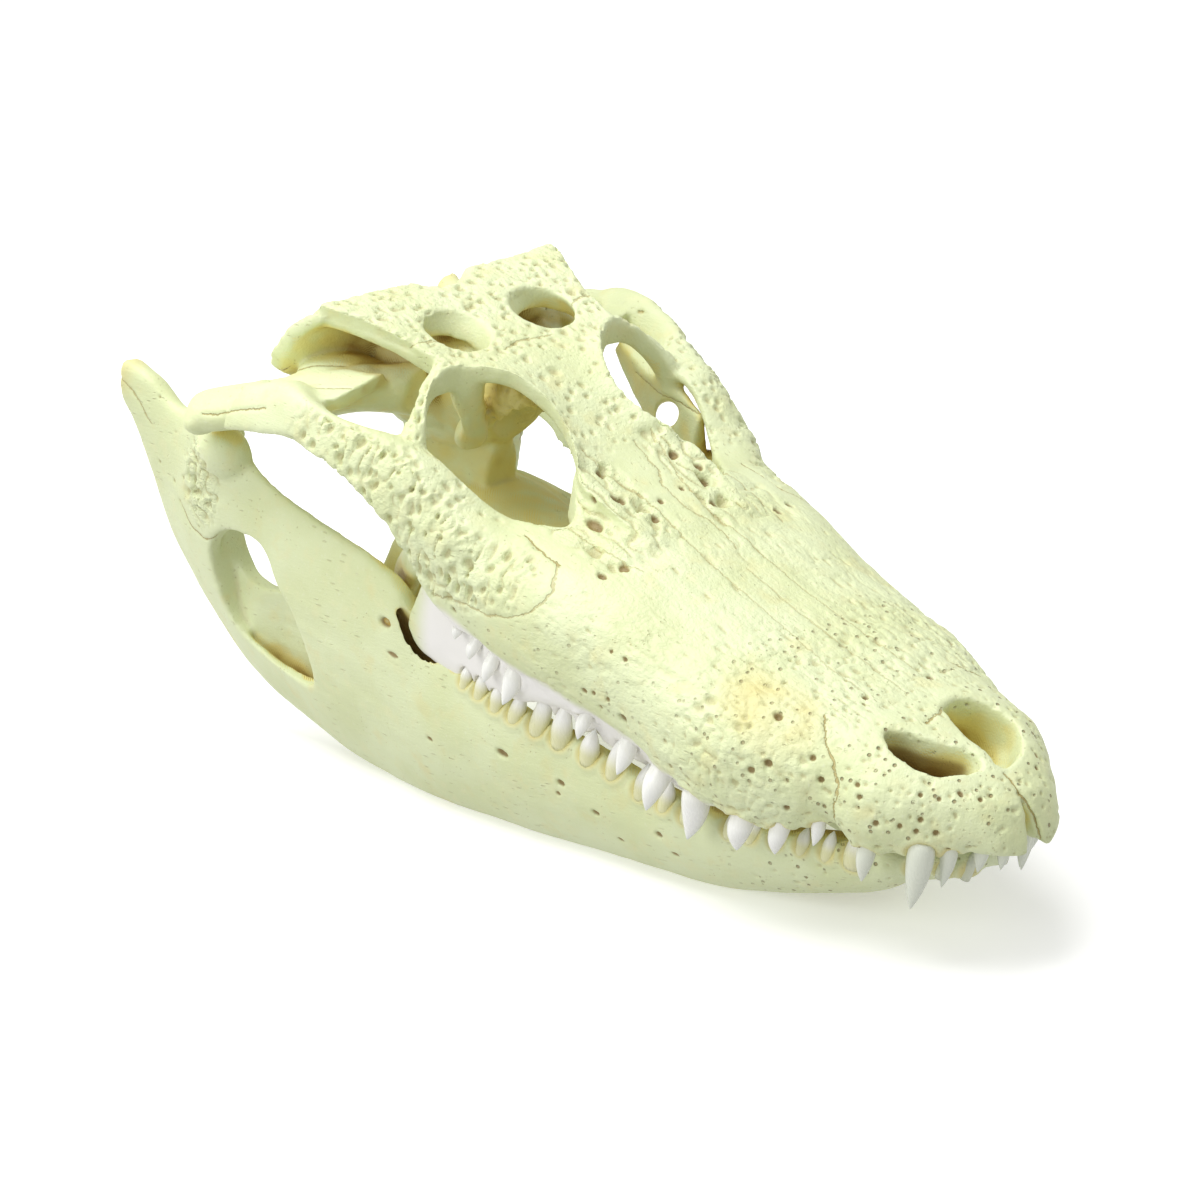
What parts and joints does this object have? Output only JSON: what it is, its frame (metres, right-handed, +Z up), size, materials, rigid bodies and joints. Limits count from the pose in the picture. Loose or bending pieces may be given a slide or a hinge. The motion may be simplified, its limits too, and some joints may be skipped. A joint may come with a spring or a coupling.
{
  "type": "alligator skull",
  "caption": "Skull of a young adult alligator with its lower jaw, closed, lying as it rests on the lower edges of the jaw.",
  "frame": {"origin": "middle of the bottom of the bounding box, on the floor it rests on", "axes": "+Z up, -Y towards the snout tip, +X to the animal's left"},
  "size_m": [0.1733, 0.353, 0.1607],
  "materials": {
    "bone": "dry bleached bone, pale cream, slightly satin",
    "inner_bone": "dry bone in the hollows, yellower and duller"
  },
  "bodies": {
    "root": {"angular_left": "bone", "angular_right": "bone", "articular_left": "bone", "articular_right": "bone", "braincase": "inner_bone", "dentary_left": "bone", "dentary_right": "bone", "ectopterygoid_left": "inner_bone", "ectopterygoid_right": "inner_bone", "frontal": "bone", "jugal_left": "bone", "jugal_right": "bone", "lacrimal_left": "bone", "lacrimal_right": "bone", "maxilla_left": "bone", "maxilla_right": "bone", "nasals": "bone", "palatines": "inner_bone", "parietal": "bone", "postorbital_left": "bone", "postorbital_right": "bone", "prefrontal_left": "bone", "prefrontal_right": "bone", "premaxilla_left": "bone", "premaxilla_right": "bone", "pterygoids": "inner_bone", "quadrate_left": "bone", "quadrate_right": "bone", "quadratojugal_left": "bone", "quadratojugal_right": "bone", "squamosal_left": "bone", "squamosal_right": "bone", "surangular_left": "bone", "surangular_right": "bone"}
  },
  "joints": []
}
